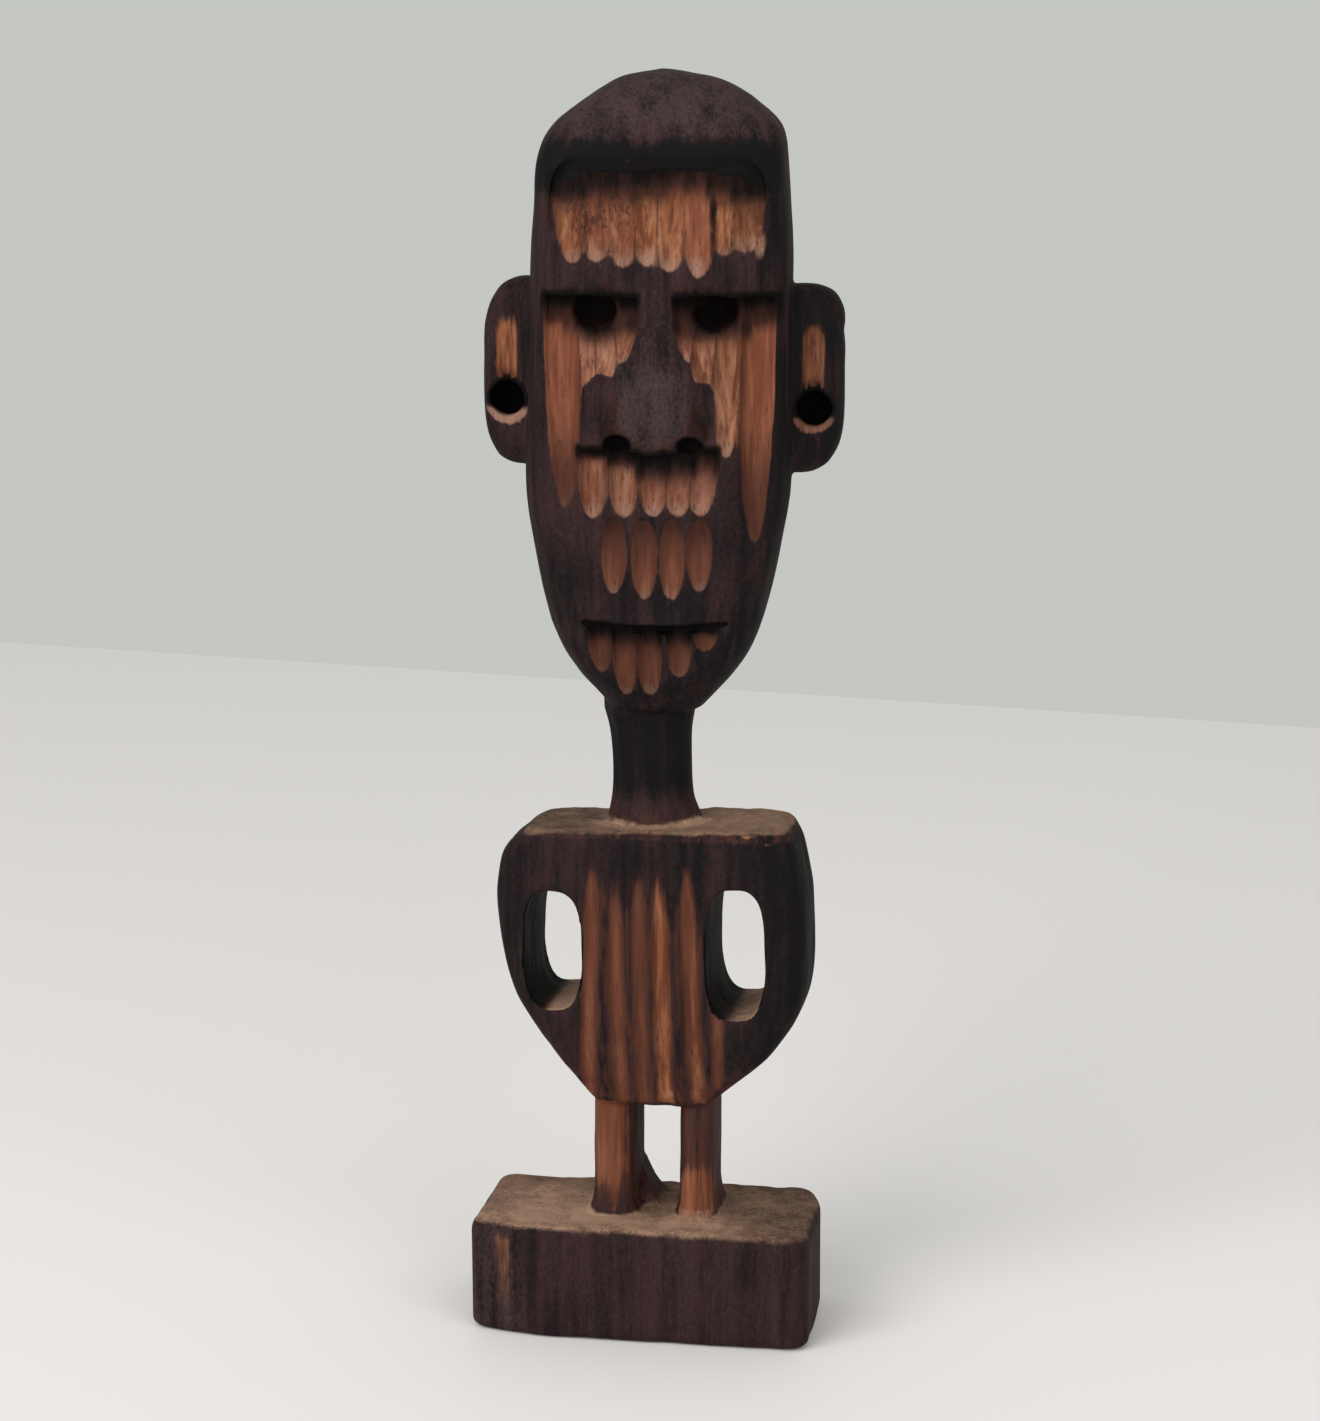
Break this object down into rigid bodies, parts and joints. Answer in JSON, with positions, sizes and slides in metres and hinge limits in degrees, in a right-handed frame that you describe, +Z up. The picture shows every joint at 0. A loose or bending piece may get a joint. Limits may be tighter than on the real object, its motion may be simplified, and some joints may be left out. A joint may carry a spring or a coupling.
{
  "type": "wooden ancestor figure",
  "caption": "Standing wooden figure with a long gouge-carved face, block ears, arms set off by gaps from a fluted trunk, short legs and a block base, carved in one piece",
  "frame": {"origin": "centre of the base block's flat underside, at the height of what it stands on", "axes": "+Z up from the underside to the crown, the face and the front of the trunk look along -Y, +X is to the viewer's right"},
  "size_m": [0.0722, 0.0363, 0.2495],
  "materials": {
    "charred_wood": "dark stained or charred surface, matt, with fresh brown wood in the gouge cuts"
  },
  "bodies": {
    "root": {"ancestor_figure": "charred_wood"}
  },
  "joints": []
}
